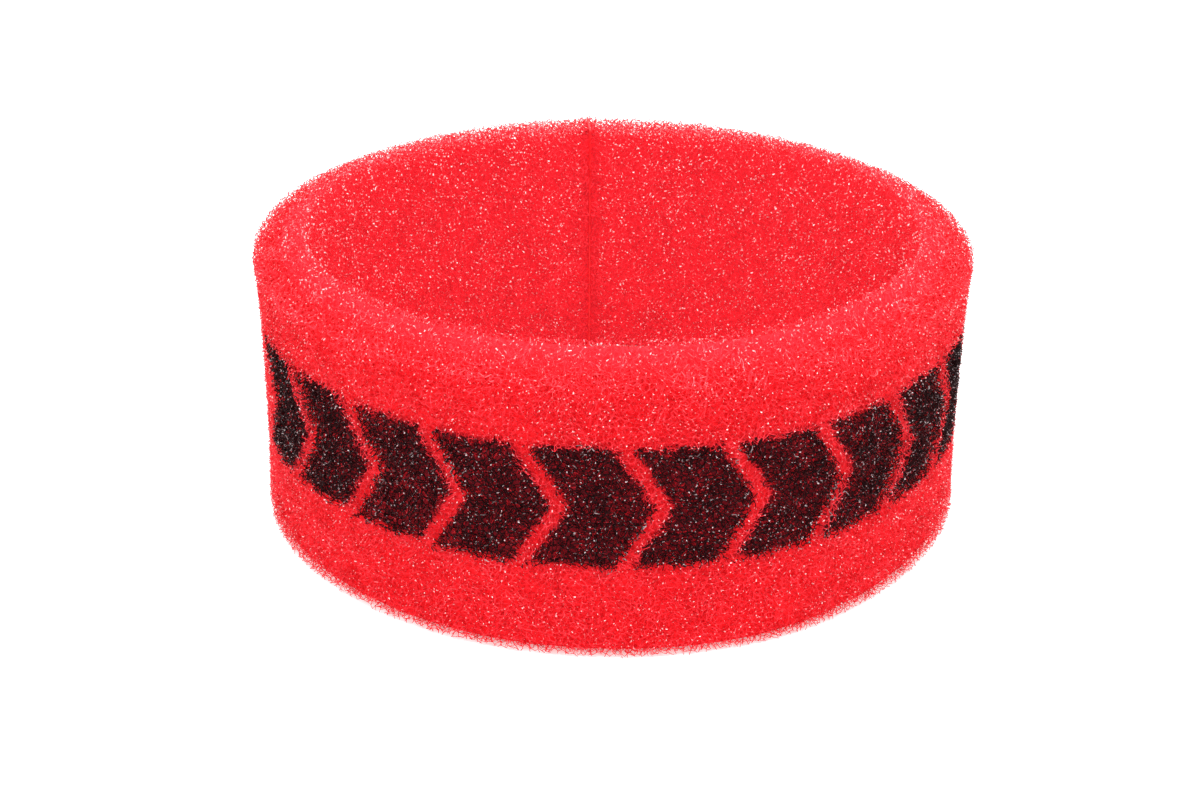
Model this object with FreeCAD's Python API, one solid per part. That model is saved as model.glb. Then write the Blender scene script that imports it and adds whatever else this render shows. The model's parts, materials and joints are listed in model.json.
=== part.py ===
"""A round foam air filter element for a motorcycle: a strip of open-cell foam bent into a
ring, glued end to end, with a band of printed chevrons round its outer face.

Origin: on the ring's axis, in the plane of its lower rim. +Z runs up the axis.
-Y is the middle of the ring's front, and the glued seam is at +Y.
"""

import FreeCAD
import Part
import math
import os

# Foam strip, in millimetres and degrees
outer_diameter = 130.0
strip_thickness = 9.5
strip_width = 51.0

# Seam: near it the stiff ends of the strip stay straight and meet in a slight ridge
seam_straight_angle = 9.0
adhesive_thickness = 0.4

# Printed chevrons, measured along and across the outer face
chevron_count = 11
chevron_height = 21.0
chevron_stroke = 13.8
chevron_point = 6.5
chevron_gap = 3.2
print_middle_angle = 7.5
print_lift = 1.5
ink_depth = 1.6

outer_radius = outer_diameter / 2.0
bore_radius = outer_radius - strip_thickness
chevron_pitch = chevron_stroke + chevron_gap
chevron_base_height = (strip_width - chevron_height) / 2.0 + print_lift

axis_point = FreeCAD.Vector(0, 0, 0)
up = FreeCAD.Vector(0, 0, 1)

# Cutting tools are this much larger than what they cut
tool_margin = 10.0


def strip_section():
    """The strip's square-cut section in the XZ plane, standing on the lower rim."""
    corners = [
        FreeCAD.Vector(bore_radius, 0, 0),
        FreeCAD.Vector(outer_radius, 0, 0),
        FreeCAD.Vector(outer_radius, 0, strip_width),
        FreeCAD.Vector(bore_radius, 0, strip_width),
    ]
    return Part.Face(Part.makePolygon(corners + [corners[0]]))


def bent_strip():
    """The whole ring without its seam: one long arc and two straight ends that meet at +Y."""
    section = strip_section()
    arc_angle = 360.0 - 2.0 * seam_straight_angle
    section.rotate(axis_point, up, 90.0 + seam_straight_angle)
    arc = section.revolve(axis_point, up, arc_angle)
    # the straight end starts square to the ring and passes the seam plane
    length = outer_radius * math.tan(math.radians(seam_straight_angle)) + tool_margin
    heading = math.radians(seam_straight_angle)
    left_end = section.extrude(FreeCAD.Vector(math.cos(heading), math.sin(heading), 0) * length)
    keep_left = Part.makeBox(
        outer_diameter,
        outer_diameter,
        strip_width + 2.0 * tool_margin,
        FreeCAD.Vector(-outer_diameter, 0, -tool_margin),
    )
    left_end = left_end.common(keep_left)
    right_end = left_end.mirror(axis_point, FreeCAD.Vector(1, 0, 0))
    return arc.fuse([left_end, right_end]).removeSplitter()


def seam_slab():
    """The space between the two glued ends of the strip."""
    return Part.makeBox(
        adhesive_thickness,
        strip_thickness + 2.0 * tool_margin,
        strip_width + 2.0 * tool_margin,
        FreeCAD.Vector(-adhesive_thickness / 2.0, bore_radius - tool_margin, -tool_margin),
    )


def ink_zone(ring):
    """The outer layer of the foam, as deep as ink soaks in."""
    dry_core = Part.makeCylinder(outer_radius - ink_depth, strip_width)
    return ring.cut(dry_core)


def chevron_prism(turn):
    """A chevron lying on the front of the ring and pushed through it, turned about the axis."""
    half = (chevron_stroke + chevron_point) / 2.0
    low = chevron_base_height
    middle = chevron_base_height + chevron_height / 2.0
    high = chevron_base_height + chevron_height
    outline = [
        (-half, low),
        (chevron_stroke - half, low),
        (half, middle),
        (chevron_stroke - half, high),
        (-half, high),
        (chevron_point - half, middle),
    ]
    points = [FreeCAD.Vector(x, -outer_radius - tool_margin, z) for x, z in outline]
    face = Part.Face(Part.makePolygon(points + [points[0]]))
    prism = face.extrude(FreeCAD.Vector(0, strip_thickness + tool_margin, 0))
    prism.rotate(axis_point, up, turn)
    return prism


def printed_marks(ring):
    """The ink-soaked chevrons, as separate solids spread evenly either side of the middle."""
    zone = ink_zone(ring)
    pitch_angle = math.degrees(chevron_pitch / outer_radius)
    marks = []
    for index in range(chevron_count):
        steps = index - (chevron_count - 1) / 2.0
        prism = chevron_prism(print_middle_angle + steps * pitch_angle)
        marks += zone.common(prism).Solids
    return Part.makeCompound(marks)


def save(shape, node):
    """Writes one node to its STEP file and says what is in it."""
    shape.exportStep(os.path.join("parts", node + ".step"))
    print(node, len(shape.Solids), "solids", round(shape.Volume, 1), "mm3", shape.isValid())


os.makedirs("parts", exist_ok=True)
ring = bent_strip()
adhesive = ring.common(seam_slab())
strip = ring.cut(seam_slab())
marks = printed_marks(strip)
save(strip.cut(marks), "foam_band")
save(adhesive, "seam_adhesive")
save(marks, "printed_marks")
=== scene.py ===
import json
import math

import bpy
import numpy as np
from mathutils import Matrix, Vector


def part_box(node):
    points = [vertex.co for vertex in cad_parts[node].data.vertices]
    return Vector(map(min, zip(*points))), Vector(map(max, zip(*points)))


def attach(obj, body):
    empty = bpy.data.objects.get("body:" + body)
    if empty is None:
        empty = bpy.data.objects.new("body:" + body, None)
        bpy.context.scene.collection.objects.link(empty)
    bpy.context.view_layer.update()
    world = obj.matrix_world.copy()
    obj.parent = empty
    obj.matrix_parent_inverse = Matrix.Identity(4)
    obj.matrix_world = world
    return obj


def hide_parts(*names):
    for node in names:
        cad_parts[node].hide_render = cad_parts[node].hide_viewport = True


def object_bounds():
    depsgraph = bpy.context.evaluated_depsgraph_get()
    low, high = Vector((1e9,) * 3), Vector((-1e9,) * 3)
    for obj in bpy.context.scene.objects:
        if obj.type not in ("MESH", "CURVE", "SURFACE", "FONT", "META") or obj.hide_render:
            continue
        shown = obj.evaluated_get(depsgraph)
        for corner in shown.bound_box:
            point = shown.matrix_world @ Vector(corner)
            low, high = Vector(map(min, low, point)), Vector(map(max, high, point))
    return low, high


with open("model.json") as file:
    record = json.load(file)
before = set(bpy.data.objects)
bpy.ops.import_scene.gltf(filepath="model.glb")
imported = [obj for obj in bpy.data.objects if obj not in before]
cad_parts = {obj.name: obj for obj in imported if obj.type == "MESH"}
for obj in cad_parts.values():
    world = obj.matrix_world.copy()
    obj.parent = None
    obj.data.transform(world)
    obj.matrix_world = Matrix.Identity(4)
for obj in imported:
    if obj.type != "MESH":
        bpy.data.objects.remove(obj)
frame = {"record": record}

cad_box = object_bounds()

# ---- Foam strip -------------------------------------------------------------------------
# A long strip of reticulated polyurethane foam, dyed red. It is a net of fine strands that
# meet in small knots, and the cells between them are open. Only the cells near a cut face
# can be seen into, so the net is built for the strip's skin.
foam_low, foam_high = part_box("foam_band")
mounts = {mount["name"]: mount for mount in frame["record"]["mounts"]}
outer_radius = foam_high.x
bore_radius = mounts["inner_bore"]["dims"]["r_mm"] / 1000
strip_thickness = outer_radius - bore_radius
strip_width = foam_high.z - foam_low.z

# near the seam the strip's stiff ends stay straight, with the glue's gap between them
seam_straight_angle = math.radians(9.0)
seam_half_gap = 0.0002
middle_radius = bore_radius + strip_thickness / 2
arc_length = middle_radius * (2 * math.pi - 2 * seam_straight_angle)
end_run = outer_radius * math.tan(seam_straight_angle)
strip_length = arc_length + 2 * end_run

# bending squeezes the bore side, so the upper rim stands higher there, but not near the
# seam, where the strip is hardly bent; both edges spread a little
rim_rise_at_bore = 0.0021
rim_drop_outside = 0.0017
rim_curl_power = 4
flat_rim_reach = math.radians(52.0)
flat_rim_share = 0.92
rim_spread = 0.0007
rim_spread_power = 8
foot_rise_outside = 0.0003
foot_spread = 0.0008
foot_power = 5
# slight waves of a soft ring: how many go round it, how high, and where they start
waves_around = ((3, 0.00025, 0.4), (5, 0.00020, 2.0), (8, 0.00012, 5.1))


def bend(strip):
    """Takes points on the flat strip (along, through from the bore face, up) to the ring."""
    along, through, up = strip[..., 0], strip[..., 1], strip[..., 2]
    outward = through / strip_thickness
    climb = np.clip(up / strip_width, 0, 1)
    on_arc = np.clip(along, 0, arc_length)
    past = along - on_arc
    turn = math.pi / 2 + seam_straight_angle + on_arc / middle_radius
    from_seam = np.minimum(on_arc, arc_length - on_arc) / middle_radius + seam_straight_angle
    curl = 1 - flat_rim_share * np.exp(-(from_seam / flat_rim_reach) ** 2)
    rise = curl * (rim_rise_at_bore - (rim_rise_at_bore + rim_drop_outside) * outward)
    foot = (1 - climb) ** foot_power
    radius = bore_radius + through + foot_spread * foot + rim_spread * climb ** rim_spread_power
    for count, size, start in waves_around:
        fade = np.sin(math.pi * on_arc / arc_length)
        radius = radius + size * np.sin(count * turn + start) * fade
    x = radius * np.cos(turn) - past * np.sin(turn)
    y = radius * np.sin(turn) + past * np.cos(turn)
    up = up + rise * climb ** rim_curl_power + foot_rise_outside * outward * foot
    return np.stack([x, y, up], -1)


# one cell of the net, as a share of its size: 12 knots, each tied to 4 others
quarter = np.array([[1, 0, 2], [3, 0, 2], [2, 1, 0], [2, 3, 0], [0, 2, 1], [0, 2, 3]])
knots = np.concatenate([quarter, (quarter + 2) % 4]) / 4.0
strand_length_squared = 0.125
cell = 0.00138

# each knot is scattered a little, and whole groups of cells drift together
knot_scatter = 0.34
cell_drift = 0.30
cells_in_drift = 1.9
slow_drift = 0.00045
slow_drift_length = 0.0085
# each slow wave: how much it follows each of the three axes, and where it starts
slow_waves = ((0, 1.3, 1, 0.7), (1, 0, 0.9, 2.1), (1.1, -1, 0, 4.0))
shade_scatter = 1.0
shade_drift = 0.5
tile = 32
net_rng = np.random.default_rng(11)
scatter = net_rng.random((tile, tile, tile, len(knots), 4)).astype(np.float32)
drift_tile = net_rng.random((tile, tile, tile, 4)).astype(np.float32) - 0.5


def cell_strands():
    """Every pair of knots one strand apart, as (first knot, second knot, step to its cell)."""
    found = []
    close_enough = 1e-6
    steps = (-1, 0, 1)
    for first in range(len(knots)):
        for second in range(first + 1, len(knots)):
            for step in [(a, b, c) for a in steps for b in steps for c in steps]:
                gap = knots[second] + step - knots[first]
                if abs(gap @ gap - strand_length_squared) < close_enough:
                    found.append((first, second, *step))
    return np.array(found)


def turned(axis, angle):
    """A turn about one of the three axes, as a matrix."""
    matrix = np.eye(3)
    a, b = [(1, 2), (2, 0), (0, 1)][axis]
    matrix[a, a] = matrix[b, b] = math.cos(angle)
    matrix[a, b], matrix[b, a] = -math.sin(angle), math.sin(angle)
    return matrix


# the cells lie askew in the block that the strip was cut from
cell_tilt = turned(0, 0.55) @ turned(1, 0.38) @ turned(2, 0.71)


def coarse_drift(spots):
    """A smooth random shift, so that cells differ in size and shape, and a random shade."""
    grid = spots / (cell * cells_in_drift)
    base = np.floor(grid).astype(int)
    share = grid - base
    share = share * share * (3 - 2 * share)
    total = 0
    for a in (0, 1):
        for b in (0, 1):
            for c in (0, 1):
                weight = np.abs(1 - a - share[:, 0])
                weight = weight * np.abs(1 - b - share[:, 1])
                weight = weight * np.abs(1 - c - share[:, 2])
                corner = (base + (a, b, c)) % tile
                total = total + weight[:, None] * drift_tile[corner[:, 0], corner[:, 1], corner[:, 2]]
    return total


def knot_places(cells, knot):
    """Where knots lie on the flat strip, and a random shade for each, from 0 to 1."""
    wrapped = cells % tile
    draw = scatter[wrapped[:, 0], wrapped[:, 1], wrapped[:, 2], knot]
    spots = (cells + knots[knot] + (draw[:, :3] - 0.5) * knot_scatter) * cell
    coarse = coarse_drift(spots)
    spots = (spots + coarse[:, :3] * 2 * cell_drift * cell) @ cell_tilt.T
    s, t, u = spots.T * (2 * math.pi / slow_drift_length)
    slow = [np.sin(a * s + b * t + c * u + start) for a, b, c, start in slow_waves]
    shade = 0.5 + shade_scatter * (draw[:, 3] - 0.5) + shade_drift * coarse[:, 3]
    shade = np.clip(shade, 0, 1)
    return spots + np.stack(slow, 1) * slow_drift, shade


# how far in from each face the strands are built
wall_skin = 0.0017
rim_skin = 0.0042
foot_skin = 0.0013
cell_margin = 0.0025


def face_depths(strip):
    """How deep points lie under the nearer wall, the upper rim and the lower rim."""
    through, up = strip[:, 1], strip[:, 2]
    return np.minimum(strip_thickness - through, through), strip_width - up, up


def in_skin(strip, margin=0.0):
    """Which points lie in the strip's skin, or within a margin of it."""
    wall, top, foot = face_depths(strip)
    near = (wall < wall_skin + margin) | (top < rim_skin + margin) | (foot < foot_skin + margin)
    return near & (wall > -margin) & (top > -margin) & (foot > -margin)


def net(start, end):
    """The strands of one stretch of the strip: both ends of each, and both ends' shades."""
    box = np.array([[start, 0, 0], [end, strip_thickness, strip_width]])
    box += np.array([[-cell_margin], [cell_margin]])
    ends = (0, 1)
    corners = [[box[i][0], box[j][1], box[k][2]] for i in ends for j in ends for k in ends]
    corners = np.array(corners) @ cell_tilt / cell
    lowest = np.floor(corners.min(0)).astype(int) - 1
    highest = np.ceil(corners.max(0)).astype(int) + 1
    ranges = [np.arange(a, b + 1) for a, b in zip(lowest, highest)]
    cells = np.stack(np.meshgrid(*ranges, indexing="ij"), -1).reshape(-1, 3)
    middle = (cells + 0.5) * cell @ cell_tilt.T
    inside = ((middle > box[0]) & (middle < box[1])).all(1)
    cells = cells[inside & in_skin(middle, cell_margin)]
    first = np.tile(strands[:, 0], len(cells))
    second = np.tile(strands[:, 1], len(cells))
    home = np.repeat(cells, len(strands), 0)
    step = np.tile(strands[:, 2:], (len(cells), 1))
    end_a, shade_a = knot_places(home, first)
    end_b, shade_b = knot_places(home + step, second)
    middle = (end_a + end_b) / 2
    keep = in_skin(middle) & (middle[:, 0] >= start) & (middle[:, 0] < end)
    on_ring = bend(middle)[:, 0]
    keep &= (middle[:, 0] > 0) | (on_ring < -seam_half_gap)
    keep &= (middle[:, 0] < arc_length) | (on_ring > seam_half_gap)
    return end_a[keep], end_b[keep], shade_a[keep], shade_b[keep]


# the net is built in stretches of the strip, and each stretch becomes one piece
stretch_count = 27
strands = cell_strands()
stretch_ends = -end_run + strip_length * np.arange(stretch_count + 1) / stretch_count
stretches = [net(start, end) for start, end in zip(stretch_ends[:-1], stretch_ends[1:])]

# a strand's thickness from its axis to its edge, and how much its shade changes it
strand_size = 0.000060
strand_size_spread = 0.45
# how far a strand is turned about its axis by its shade, and how much paler each edge is
strand_spin = 7.0
edge_shades = (0.0, 0.02, 0.04)
# a strand steeper than this is nearly upright
upright = 0.9
# this deep under a face, no more light is lost
depth_scale = 0.004
# shades up to this one are dye, and those above it are painted glints
dye_top = 0.88
# the cut upper rim is fuzzy, and its strands are painted a little paler: painted light where the top
# face catches more light
rim_depth = 0.0012
rim_painted_lightening = 0.13
# glue that has soaked into the cells beside the seam thickens and darkens them
soak_reach = 0.0012
soak_swell = 0.6
soak_dark = 0.05

# a share of knots carry a short pale bead, whose colour is a painted glint
bead_share_outside = 0.190
bead_share_inside = 0.220
bead_share_inked = 0.200
bead_size = 0.000135
bead_taper = 0.7
bead_length_outside = 0.32
bead_length_inside = 0.50
bead_fat_outside = (0.52, 0.42)
bead_fat_inside = (0.55, 0.85)
bead_painted_glint = (0.915, 0.085)
# a bead's luck sets how bright its painted glint is: few are fully bright, fewer on the bore side
luck_power_outside = 1.5
luck_power_inside = 2.0
luck_outside = 0.90
luck_on_rim = 0.55
luck_inside = 0.80
luck_inside_climb = 0.40
dimmest_bead = 0.05
# the painted glints are dimmer the deeper a bead lies, and near the foot: painted shade where little
# light comes
glint_depth = 0.0009
foot_shadow_height = 0.003
bead_free_seam = 0.1


def carry(mesh, key, values):
    """Gives a mesh one value at each of its points, which its material can read."""
    layer = mesh.attributes.new(key, "FLOAT", "POINT")
    layer.data.foreach_set("value", values.astype(np.float32))


def strand_mesh(name, parts):
    """A piece made of three-sided strands, with a shade and a depth at each point."""
    end_a, end_b, size_a, size_b, shade_a, shade_b, depth_a, depth_b = parts
    count = len(end_a)
    heading = end_b - end_a
    heading /= np.linalg.norm(heading, axis=1, keepdims=True)
    helper = np.where(np.abs(heading[:, 2:3]) < upright, [[0, 0, 1.0]], [[1.0, 0, 0]])
    side = np.cross(heading, helper)
    side /= np.linalg.norm(side, axis=1, keepdims=True)
    other = np.cross(heading, side)
    spin = (shade_a * strand_spin)[:, None] + np.arange(3) * 2 * math.pi / 3
    ring = np.cos(spin)[:, :, None] * side[:, None]
    ring = ring + np.sin(spin)[:, :, None] * other[:, None]
    ring_a = end_a[:, None] + ring * size_a[:, None, None]
    ring_b = end_b[:, None] + ring * size_b[:, None, None]
    points = np.concatenate([ring_a, ring_b], 1).reshape(-1, 3)
    sides = np.array([0, 1, 4, 3, 1, 2, 5, 4, 2, 0, 3, 5])
    loops = (np.arange(count)[:, None] * 6 + sides).ravel()
    mesh = bpy.data.meshes.new(name)
    mesh.vertices.add(len(points))
    mesh.vertices.foreach_set("co", points.astype(np.float32).ravel())
    mesh.loops.add(len(loops))
    mesh.loops.foreach_set("vertex_index", loops.astype(np.int32))
    mesh.polygons.add(count * 3)
    mesh.polygons.foreach_set("loop_start", np.arange(0, count * 12, 4, dtype=np.int32))
    mesh.polygons.foreach_set("use_smooth", np.ones(count * 3, bool))
    mesh.update(calc_edges=True)
    shade = np.stack([shade_a] * 3 + [shade_b] * 3, 1) + np.tile(edge_shades, 2)
    shade = np.clip(shade, 0, 1).ravel()
    depth = np.stack([depth_a] * 3 + [depth_b] * 3, 1).ravel()
    for key, values in (("shade", shade), ("depth", depth)):
        carry(mesh, key, values)
    flat = mesh.uv_layers.new(name="OFBake", do_init=False)
    flat.uv.foreach_set("vector", np.stack([shade, depth], 1)[loops].astype(np.float32).ravel())
    piece = bpy.data.objects.new(name, mesh)
    bpy.context.scene.collection.objects.link(piece)
    return piece


def depth_share(strip):
    """How deep points lie under the nearest face, from 0 at the face to 1."""
    return np.clip(np.min(face_depths(strip), axis=0) / depth_scale, 0, 1)


def seam_nearness(ring):
    """How near points of the ring lie to the glued joint, from 0 to 1 in it."""
    return (ring[:, 1] > 0) * np.exp(-(ring[:, 0] / soak_reach) ** 2)


def is_inner(end_a, end_b):
    """Which strands lie in the bore side's half of the strip."""
    return end_a[:, 1] + end_b[:, 1] < strip_thickness


def beads(ends, rings, shares, hidden, depth, seed):
    """The short beads that some strands carry at their first knot, pale with a painted glint."""
    rng = np.random.default_rng(seed)
    beaded = (rng.random(len(ends[0])) < shares) & ~hidden
    spot = ends[0][beaded]
    inner = is_inner(*ends)[beaded]
    buried = depth_share(spot) * depth_scale / glint_depth
    lifted = np.clip(spot[:, 2] / foot_shadow_height, 0, 1)
    climb = spot[:, 2] / strip_width
    on_rim = strip_width - spot[:, 2] < glint_depth
    start = rings[0][beaded]
    length = np.where(inner, bead_length_inside, bead_length_outside)[:, None]
    end = start + (rings[1][beaded] - start) * length
    power = np.where(inner, luck_power_inside, luck_power_outside)
    luck = rng.random(len(start)) ** power * np.exp(-buried) * lifted
    on_wall = np.where(inner, luck_inside + luck_inside_climb * climb, luck_outside)
    luck = luck * np.where(on_rim, luck_on_rim, on_wall)
    # painted glint: the luckier the bead, the paler its colour
    painted_glint = bead_painted_glint[0] + bead_painted_glint[1] * np.minimum(luck, 1)
    fat_inside = bead_fat_inside[0] + bead_fat_inside[1] * luck
    fat_outside = bead_fat_outside[0] + bead_fat_outside[1] * luck
    fat = bead_size * np.where(inner, fat_inside, fat_outside)
    parts = [start, end, fat, fat * bead_taper, painted_glint, painted_glint, depth[beaded], depth[beaded]]
    return [values[luck > dimmest_bead] for values in parts]


def strand_parts(end_a, end_b, shade_a, shade_b, seed, swell=1.0, share_outside=bead_share_outside):
    """Bends strands to the ring, gives each its thickness, and adds the beads at some knots."""
    ring_a, ring_b = bend(end_a), bend(end_b)
    near_seam = seam_nearness(ring_a)
    size = swell * strand_size * (1 - strand_size_spread / 2 + strand_size_spread * shade_a)
    size = size * (1 + soak_swell * near_seam)
    dark = 1 - soak_dark * near_seam
    # painted light: strands near the top of the rim get a paler shade
    painted_rim_light = rim_painted_lightening * (end_a[:, 2] > strip_width - rim_depth)
    shade_a = np.minimum(shade_a + painted_rim_light, 1) * dye_top * dark
    shade_b = np.minimum(shade_b + painted_rim_light, 1) * dye_top * dark
    inner = is_inner(end_a, end_b)
    deep_a, deep_b = (depth_share(end_a) + inner) / 2, (depth_share(end_b) + inner) / 2
    plain = [ring_a, ring_b, size, size, shade_a, shade_b, deep_a, deep_b]
    shares = np.where(inner, bead_share_inside, share_outside)
    hidden = near_seam >= bead_free_seam
    painted_glint_beads = beads((end_a, end_b), (ring_a, ring_b), shares, hidden, deep_a, seed)
    return [np.concatenate(pair) for pair in zip(plain, painted_glint_beads)]


# ---- Printed marks ----------------------------------------------------------------------
# A row of chevrons, screen printed on the strip's outer face while it is flat. The black
# ink coats the outer strands and leaves the cells open, so red shows through the print.
marks_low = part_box("printed_marks")[0]
chevron_count = 11
chevron_stroke = 0.0138
chevron_point = 0.0065
chevron_gap = 0.0032
chevron_pitch = chevron_stroke + chevron_gap
chevron_height = 0.0210
print_middle_angle = math.radians(7.5)
ink_depth = 0.0014
ink_raggedness = 0.0009
ink_swell = 1.30
ink_piece_count = 2
ink_bead_seed = 100


def ink_reach(strip):
    """How far inside a chevron points of the outer face are, in metres."""
    ring = bend(strip)
    turn = np.arctan2(ring[:, 1], ring[:, 0]) + math.pi / 2 - print_middle_angle
    turn = (turn + math.pi) % (2 * math.pi) - math.pi
    rise = np.abs(ring[:, 2] - marks_low.z - chevron_height / 2)
    slope = chevron_point / (chevron_height / 2)
    run = turn * outer_radius + slope * rise - chevron_point / 2
    last = (chevron_count - 1) / 2
    nearest = np.clip(np.round(run / chevron_pitch), -last, last)
    across = (chevron_stroke / 2 - np.abs(run - nearest * chevron_pitch)) / math.hypot(1, slope)
    return np.minimum(across, chevron_height / 2 - rise)


def is_inked(end_a, end_b, shade_a, shade_b):
    """Which strands the ink has coated; its edge is ragged, strand by strand."""
    middle = (end_a + end_b) / 2
    ragged = (shade_a + shade_b - 1) * ink_raggedness
    soaked = strip_thickness - middle[:, 1] < ink_depth + ink_raggedness * (shade_b - 0.5)
    return soaked & (ink_reach(middle) + ragged > 0)


def new_material(name):
    """An empty node material and its shader."""
    material = bpy.data.materials.new(name)
    material.use_nodes = True
    return material, material.node_tree, material.node_tree.nodes["Principled BSDF"]


def attribute(tree, name):
    """A value that the mesh carries at its points."""
    node = tree.nodes.new("ShaderNodeAttribute")
    node.attribute_name = name
    return node.outputs["Fac"]


def ramp(tree, source, stops):
    """A colour that follows a value through a few stops."""
    node = tree.nodes.new("ShaderNodeValToRGB")
    tree.links.new(source, node.inputs["Fac"])
    elements = node.color_ramp.elements
    while len(elements) < len(stops):
        elements.new(0.5)
    for element, (position, color) in zip(elements, stops):
        element.position = position
        element.color = (*color, 1)
    return node.outputs["Color"]


def grain_group():
    """A shared effect: fine unevenness of a surface, as a roughness and a bump height."""
    group = bpy.data.node_groups.new("fine_grain", "ShaderNodeTree")
    for name in ("Scale", "Smoothest", "Roughest"):
        group.interface.new_socket(name=name, in_out="INPUT", socket_type="NodeSocketFloat")
    for name in ("Roughness", "Height"):
        group.interface.new_socket(name=name, in_out="OUTPUT", socket_type="NodeSocketFloat")
    values = group.nodes.new("NodeGroupInput")
    results = group.nodes.new("NodeGroupOutput")
    place = group.nodes.new("ShaderNodeTexCoord")
    noise = group.nodes.new("ShaderNodeTexNoise")
    noise.inputs["Detail"].default_value = 1.0
    spread = group.nodes.new("ShaderNodeMapRange")
    spread.inputs["From Min"].default_value = 0.3
    spread.inputs["From Max"].default_value = 0.7
    group.links.new(place.outputs["Object"], noise.inputs["Vector"])
    group.links.new(values.outputs["Scale"], noise.inputs["Scale"])
    group.links.new(noise.outputs["Fac"], spread.inputs["Value"])
    group.links.new(values.outputs["Smoothest"], spread.inputs["To Min"])
    group.links.new(values.outputs["Roughest"], spread.inputs["To Max"])
    group.links.new(spread.outputs["Result"], results.inputs["Roughness"])
    group.links.new(noise.outputs["Fac"], results.inputs["Height"])
    return group


grain = grain_group()


def add_grain(tree, shader, size, roughness, bump_height):
    """Places the shared grain in a material, where it feeds the roughness and a bump."""
    node = tree.nodes.new("ShaderNodeGroup")
    node.node_tree = grain
    node.inputs["Scale"].default_value = 1 / size
    node.inputs["Smoothest"].default_value, node.inputs["Roughest"].default_value = roughness
    bump = tree.nodes.new("ShaderNodeBump")
    bump.inputs["Distance"].default_value = bump_height
    tree.links.new(node.outputs["Height"], bump.inputs["Height"])
    tree.links.new(node.outputs["Roughness"], shader.inputs["Roughness"])
    tree.links.new(bump.outputs["Normal"], shader.inputs["Normal"])


ink_black = (0.008, 0.0025, 0.0032)
ink_worn = (0.026, 0.004, 0.005)
# painted glint: the pale colour of the beads on the inked strands
ink_painted_glint = (0.95, 0.78, 0.80)
ink, tree, shader = new_material("black_ink_on_strands")
blacks = [(0.0, ink_black), (dye_top, ink_worn), (0.95, ink_painted_glint)]
shades = ramp(tree, attribute(tree, "shade"), blacks)
tree.links.new(shades, shader.inputs["Base Color"])
add_grain(tree, shader, size=0.0003, roughness=(0.25, 0.50), bump_height=0.00002)
shader.inputs["Specular IOR Level"].default_value = 0.05

# the inked strands of all stretches, parted again from one end of the row to the other
inked_masks = [is_inked(*stretch) for stretch in stretches]
inked = []
for stretch, mask in zip(stretches, inked_masks):
    inked.append([values[mask] for values in stretch])
printed = [np.concatenate(values) for values in zip(*inked)]
order = np.argsort(printed[0][:, 0])
for index, part in enumerate(np.array_split(order, ink_piece_count)):
    ends = [values[part] for values in printed]
    seed = ink_bead_seed + index
    parts = strand_parts(*ends, seed, swell=ink_swell, share_outside=bead_share_inked)
    piece = strand_mesh(f"ink_strands_{index + 1}", parts)
    piece.data.materials.append(ink)
    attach(piece, "root")
    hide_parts("printed_marks")

# ---- Foam band --------------------------------------------------------------------------
# The strip bent into a ring. Its skin is the net of strands, and behind it lies the depth
# of the foam, where the cells are too many to see through.
foam_low_red = (0.70, 0.006, 0.013)
foam_high_red = (1.0, 0.052, 0.074)
# painted glints: the pale pinks and near white of the beads on the red strands
foam_painted_glint_low = (1.0, 0.25, 0.28)
foam_painted_glint = (1.0, 0.90, 0.90)
foam_in_shade = (0.97, 0.62, 0.64)
# a painted glow (emission) for light that comes through the wall from outside, seen in the bore
foam_painted_glow = (0.085, 0.007, 0.011)
foam_bead_seed = 200
unlit = (0, 0, 0)
plain_white = (1, 1, 1)


def multiply(tree, color_a, color_b):
    """Two colours multiplied."""
    node = tree.nodes.new("ShaderNodeMix")
    node.data_type = "RGBA"
    node.blend_type = "MULTIPLY"
    node.inputs["Factor"].default_value = 1.0
    tree.links.new(color_a, node.inputs["A"])
    tree.links.new(color_b, node.inputs["B"])
    return node.outputs["Result"]


red_foam, tree, shader = new_material("red_foam_strands")
reds = [(0.0, foam_low_red), (dye_top, foam_high_red), (0.93, foam_painted_glint_low), (1.0, foam_painted_glint)]
shades = ramp(tree, attribute(tree, "shade"), reds)
# "depth" runs from 0 to 0.5 under the outer face, and from 0.5 to 1 under the bore face
# painted shade: strands deeper under a face get a darker colour
outer_shadows = [(0.0, plain_white), (0.25, foam_in_shade), (0.49, foam_in_shade)]
inner_shadows = [(0.5, plain_white), (0.75, foam_in_shade)]
shadow = ramp(tree, attribute(tree, "depth"), outer_shadows + inner_shadows)
# painted glow: strands in the bore side's half give off a faint red light
glow = ramp(tree, attribute(tree, "depth"), [(0.49, unlit), (0.5, foam_painted_glow)])
tree.links.new(glow, shader.inputs["Emission Color"])
shader.inputs["Emission Strength"].default_value = 1.0
tree.links.new(multiply(tree, shades, shadow), shader.inputs["Base Color"])
add_grain(tree, shader, size=0.0003, roughness=(0.22, 0.45), bump_height=0.00002)
shader.inputs["Specular IOR Level"].default_value = 0.1

for index, (stretch, mask) in enumerate(zip(stretches, inked_masks)):
    ends = [values[~mask] for values in stretch]
    parts = strand_parts(*ends, foam_bead_seed + index)
    piece = strand_mesh(f"foam_strands_{index + 1:02d}", parts)
    piece.data.materials.append(red_foam)
    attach(piece, "root")
    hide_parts("foam_band")

# the core is the unseen depth, and its faces lie in from the foam's by these sizes
core_around = 720
core_rows = 56
core_steps = 8
core_rim_inset_at_bore = 0.0006
core_rim_inset_at_seam = 0.0018
core_rim_inset_outside = 0.0034
core_foot_inset = 0.0005
core_lean = 0.0009
core_lean_power = 6
core_light = (0.93, 0.016, 0.026)
# painted shade in the pores of the unseen depth
core_pore_painted_shade = (0.84, 0.007, 0.014)
core_under_ink = (0.22, 0.005, 0.012)
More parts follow.
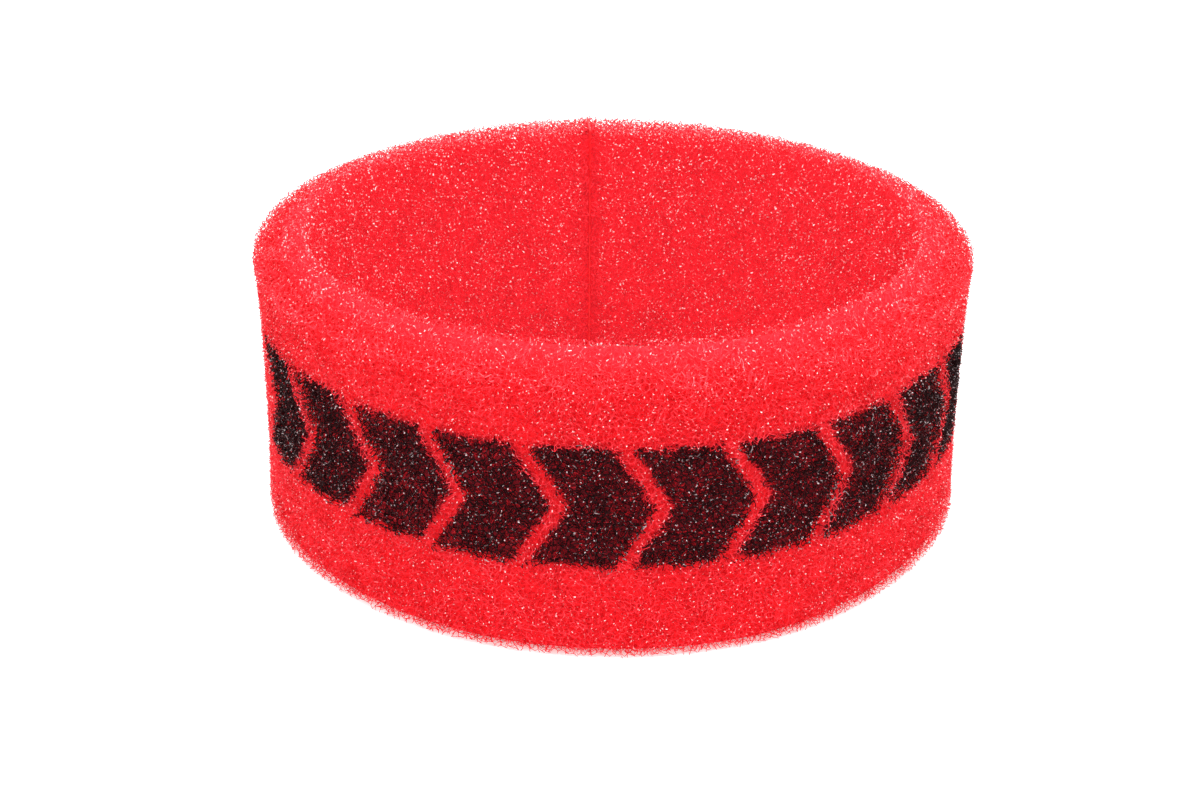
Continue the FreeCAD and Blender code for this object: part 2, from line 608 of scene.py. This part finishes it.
# the same painted glow for light through the wall, behind the strands
core_painted_glow = (0.12, 0.011, 0.018)
# beside the seam the cells are closed by glue almost to the bore face
core_inset_at_glue = 0.0004
core_glue_stain = (0.92, 0.66, 0.66)
core_glue_dimming = 0.2
core_ink_edge = 0.0003


def core_outline():
    """The core's section on the flat strip, as (through, up) points all the way round."""
    near, far = wall_skin, strip_thickness - wall_skin
    top_near = strip_width - core_rim_inset_at_bore
    top_far = strip_width - core_rim_inset_outside
    walls = np.linspace(0, 1, core_rows)
    rims = np.linspace(0, 1, core_steps + 1)[1:-1]
    points = [(far, core_foot_inset + (top_far - core_foot_inset) * s) for s in walls]
    near_rim = near - core_lean
    points += [(far + (near_rim - far) * s, top_far + (top_near - top_far) * s) for s in rims]
    for s in walls:
        up = top_near + (core_foot_inset - top_near) * s
        points.append((near - core_lean * (1 - s) ** core_lean_power, up))
    points += [(near + (far - near) * s, core_foot_inset) for s in rims]
    return np.array(points)


def core_mesh(name):
    """The closed skin of the foam's unseen depth, from one glued end round to the other."""
    outline = core_outline()
    count = len(outline)
    along = np.linspace(-end_run, arc_length + end_run, core_around + 1)
    strip = np.zeros((core_around + 1, count, 3))
    strip[:, :, 0] = along[:, None]
    strip[:, :, 1:] = outline
    strip = strip.reshape(-1, 3)
    # near the seam light shines through the rim, so the unseen depth starts lower there
    near_seam = (1 + np.cos(2 * math.pi * (strip[:, 0] + end_run) / strip_length)) / 2
    at_bore = 1 - (strip[:, 1] - wall_skin) / (strip_thickness - 2 * wall_skin)
    at_bore = np.clip(at_bore, 0, 1)
    # behind the seam side's rim the unseen depth doesn't lean to the bore
    lean = core_lean * np.clip(strip[:, 2] / strip_width, 0, 1) ** core_lean_power
    strip[:, 1] += lean * near_seam * (strip[:, 1] < wall_skin + core_lean / 2)
    drop = (core_rim_inset_at_seam - core_rim_inset_at_bore) * near_seam * at_bore
    strip[:, 2] -= drop * (strip[:, 2] - core_foot_inset) / (strip_width - core_foot_inset)
    # and the glued cells beside the joint close almost up to the bore face
    strip[:, 1] -= (wall_skin - core_inset_at_glue) * seam_nearness(bend(strip)) * at_bore
    ring = bend(strip)
    # both ends stop at the glue
    across = ring[:, 0]
    across = np.where(strip[:, 0] < 0, np.minimum(across, -seam_half_gap), across)
    ring[:, 0] = np.where(strip[:, 0] > arc_length, np.maximum(across, seam_half_gap), across)
    step = np.arange(core_around)[:, None] * count
    here = np.arange(count)[None]
    after = (here + 1) % count
    quads = np.stack([step + here, step + count + here, step + count + after, step + after], -1)
    mesh = bpy.data.meshes.new(name)
    last = core_around * count
    ends = [list(range(count)), list(range(last + count - 1, last - 1, -1))]
    mesh.from_pydata(ring.tolist(), [], quads.reshape(-1, 4).tolist() + ends)
    glued = seam_nearness(ring)
    under_ink = np.clip((ink_reach(strip) + core_ink_edge) / (2 * core_ink_edge), 0, 1)
    carry(mesh, "inked", under_ink * (strip[:, 1] > strip_thickness / 2))
    carry(mesh, "painted_glow_share", at_bore * (1 - core_glue_dimming * glued))
    carry(mesh, "glued", glued)
    mesh.polygons.foreach_set("use_smooth", np.ones(len(mesh.polygons), bool))
    piece = bpy.data.objects.new(name, mesh)
    bpy.context.scene.collection.objects.link(piece)
    return piece


core_finish, tree, shader = new_material("foam_depth")
place = tree.nodes.new("ShaderNodeTexCoord")
cells = tree.nodes.new("ShaderNodeTexVoronoi")
cells.feature = "DISTANCE_TO_EDGE"
cells.inputs["Scale"].default_value = 1 / cell
tree.links.new(place.outputs["Object"], cells.inputs["Vector"])
# painted shade: the pores between the cell edges are darker than the strand red along them
depths = ramp(tree, cells.outputs["Distance"], [(0.0, core_light), (0.22, core_pore_painted_shade)])
# the ink darkens what is seen between its strands
tint = tree.nodes.new("ShaderNodeMix")
tint.data_type = "RGBA"
tint.inputs["B"].default_value = (*core_under_ink, 1)
tree.links.new(attribute(tree, "inked"), tint.inputs["Factor"])
tree.links.new(depths, tint.inputs["A"])
stained = ramp(tree, attribute(tree, "glued"), [(0.2, plain_white), (0.9, core_glue_stain)])
tree.links.new(multiply(tree, tint.outputs["Result"], stained), shader.inputs["Base Color"])
# painted glow on the core's bore side, dimmer beside the glue
glow = ramp(tree, attribute(tree, "painted_glow_share"), [(0.2, unlit), (0.9, core_painted_glow)])
tree.links.new(glow, shader.inputs["Emission Color"])
shader.inputs["Emission Strength"].default_value = 1.0
add_grain(tree, shader, size=0.0008, roughness=(0.50, 0.75), bump_height=0.0002)
shader.inputs["Specular IOR Level"].default_value = 0.1
core = core_mesh("foam_core")
core.data.materials.append(core_finish)
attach(core, "root")
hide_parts("foam_band")

# ---- Seam adhesive ----------------------------------------------------------------------
# A film of flexible contact glue, brushed on the strip's two cut ends before they are
# pressed together. It is stained red by the foam, and its edges are uneven.
glue_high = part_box("seam_adhesive")[1]
glue_rows = 150
glue_across = 26
glue_half_width = 0.00026
glue_half_width_spread = 0.00012
glue_recess = 0.00055
glue_inset_outside = 0.0002
glue_unevenness = 0.0001
# it swells and narrows slowly up the joint, with a finer waver on top
glue_swells = 40
glue_fine_in_width = 0.5
glue_fine_in_depth = 0.4
glue_mean_swell = 0.75
glue_side_bluntness = 0.5
glue_end_bluntness = 0.3
glue_mottle_scale = 900.0
glue_rng = np.random.default_rng(7)


def glue_mesh(name):
    """The film as a closed, uneven slab: a flat ring of points at each height, lofted upward."""
    rise = np.linspace(0, 1, glue_rows)
    coarse = glue_rng.random(glue_swells)
    swell = np.interp(rise, np.linspace(0, 1, glue_swells), coarse)
    fine = glue_rng.random(glue_rows)
    points = []
    for row, share in enumerate(rise):
        waver = swell[row] + glue_fine_in_width * fine[row] - glue_mean_swell
        half = glue_half_width + glue_half_width_spread * waver
        waver = swell[row] + glue_fine_in_depth * fine[row]
        near = bore_radius + glue_recess + glue_unevenness * waver
        far = glue_high.y - glue_inset_outside
        for step in range(glue_across):
            angle = 2 * math.pi * step / glue_across
            # a long flat oval: blunt ends at the bore and outer faces
            c, s = math.cos(angle), math.sin(angle)
            x = half * math.copysign(abs(s) ** glue_side_bluntness, s)
            reach = math.copysign(abs(c) ** glue_end_bluntness, c)
            y = (near + far) / 2 - (far - near) / 2 * reach
            points.append((x, y, share * strip_width))
    quads = []
    for row in range(glue_rows - 1):
        for step in range(glue_across):
            after = (step + 1) % glue_across
            base = row * glue_across
            above = base + glue_across
            quads.append((base + step, base + after, above + after, above + step))
    top = (glue_rows - 1) * glue_across
    quads.append(tuple(range(glue_across))[::-1])
    quads.append(tuple(top + step for step in range(glue_across)))
    mesh = bpy.data.meshes.new(name)
    mesh.from_pydata(points, [], quads)
    mesh.polygons.foreach_set("use_smooth", np.ones(len(mesh.polygons), bool))
    piece = bpy.data.objects.new(name, mesh)
    bpy.context.scene.collection.objects.link(piece)
    return piece


glue_red = (0.82, 0.007, 0.014)
glue_deep = (0.68, 0.004, 0.009)
glue_finish, tree, shader = new_material("red_stained_glue")
place = tree.nodes.new("ShaderNodeTexCoord")
mottle = tree.nodes.new("ShaderNodeTexNoise")
mottle.inputs["Scale"].default_value = glue_mottle_scale
tree.links.new(place.outputs["Object"], mottle.inputs["Vector"])
mottled = ramp(tree, mottle.outputs["Fac"], [(0.35, glue_deep), (0.65, glue_red)])
tree.links.new(mottled, shader.inputs["Base Color"])
add_grain(tree, shader, size=0.0007, roughness=(0.35, 0.60), bump_height=0.0002)
glue = glue_mesh("seam_glue_film")
glue.data.materials.append(glue_finish)
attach(glue, "root")
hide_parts("seam_adhesive")

# ---- Floor, light and camera ------------------------------------------------------------
# A plain sheet of white paper under four soft boxes. The paper also glows with a painted light
# (emission), except inside the ring, so that the ring hardly casts a shadow on it.
floor_size = 6.0
floor_gap = 0.0002
floor_white = (0.80, 0.80, 0.80, 1)
floor_painted_glow = 0.35
world_light = 0.95
bpy.ops.mesh.primitive_plane_add(size=floor_size, location=(0, 0, cad_box[0][2] - floor_gap))
floor = bpy.context.object
floor.name = "stage_floor"
floor_finish, tree, shader = new_material("white_paper")
shader.inputs["Base Color"].default_value = floor_white
shader.inputs["Roughness"].default_value = 0.8
place = tree.nodes.new("ShaderNodeTexCoord")
distance = tree.nodes.new("ShaderNodeVectorMath")
distance.operation = "LENGTH"
tree.links.new(place.outputs["Object"], distance.inputs[0])
# painted light: the floor glows from the outer face outward, and not inside the ring
floor_painted_glow_stops = [(bore_radius, unlit), (outer_radius, plain_white)]
lit = ramp(tree, distance.outputs["Value"], floor_painted_glow_stops)
tree.links.new(lit, shader.inputs["Emission Color"])
shader.inputs["Emission Strength"].default_value = floor_painted_glow
floor.data.materials.append(floor_finish)

world = bpy.data.worlds.new("studio")
world.use_nodes = True
sky = world.node_tree.nodes["Background"]
sky.inputs["Color"].default_value = (*plain_white, 1)
sky.inputs["Strength"].default_value = world_light
bpy.context.scene.world = world


def soft_box(name, place, size, power):
    """A rectangular lamp aimed at the middle of the object."""
    lamp = bpy.data.lights.new(name, "AREA")
    lamp.shape = "RECTANGLE"
    lamp.size, lamp.size_y = size
    lamp.energy = power
    stand = bpy.data.objects.new(name, lamp)
    stand.location = place
    aim = Vector((0, 0, strip_width / 2)) - Vector(place)
    stand.rotation_euler = aim.to_track_quat("-Z", "Y").to_euler()
    bpy.context.scene.collection.objects.link(stand)


soft_box("left_box", place=(-0.85, -0.45, 0.9), size=(0.5, 0.5), power=7.5)
soft_box("right_box", place=(0.90, -0.40, 0.9), size=(0.5, 0.5), power=8.5)
soft_box("back_box", place=(0.0, 0.70, 1.0), size=(0.6, 0.4), power=8.0)
soft_box("top_box", place=(0.0, -0.30, 1.2), size=(0.6, 0.6), power=5.5)

# the camera stands in front and above, turned a little off the ring's middle
camera_data = bpy.data.cameras.new("camera")
camera_data.sensor_width = 36.0
camera_data.lens = 55.68
camera = bpy.data.objects.new("camera", camera_data)
bpy.context.scene.collection.objects.link(camera)
camera_distance = 5.42932 * outer_radius
camera_height_angle = math.radians(24.57833)
camera_turn = math.radians(-95.0)
camera_pan = -0.00565
camera_tilt = -0.02467
camera_roll = 0.0084
camera_aim_height = 0.7587 * outer_radius / 2
level = math.cos(camera_height_angle)
away = [level * math.cos(camera_turn), level * math.sin(camera_turn), math.sin(camera_height_angle)]
away = Vector(away)
place = Vector((0, 0, camera_aim_height)) + camera_distance * away
sideways = (-away).cross(Vector((0, 0, 1))).normalized()
upward = sideways.cross(-away)
ahead = -away + math.tan(camera_pan) * sideways + math.tan(camera_tilt) * upward
ahead = ahead.normalized()
sideways = ahead.cross(Vector((0, 0, 1))).normalized()
upward = sideways.cross(ahead)
right = math.cos(camera_roll) * sideways + math.sin(camera_roll) * upward
top = -math.sin(camera_roll) * sideways + math.cos(camera_roll) * upward
facing = Matrix((right, top, -ahead)).transposed().to_4x4()
camera.matrix_world = Matrix.Translation(place) @ facing
bpy.context.scene.camera = camera
bpy.context.scene.view_settings.view_transform = "Standard"
bpy.context.scene.cycles.diffuse_bounces = 8
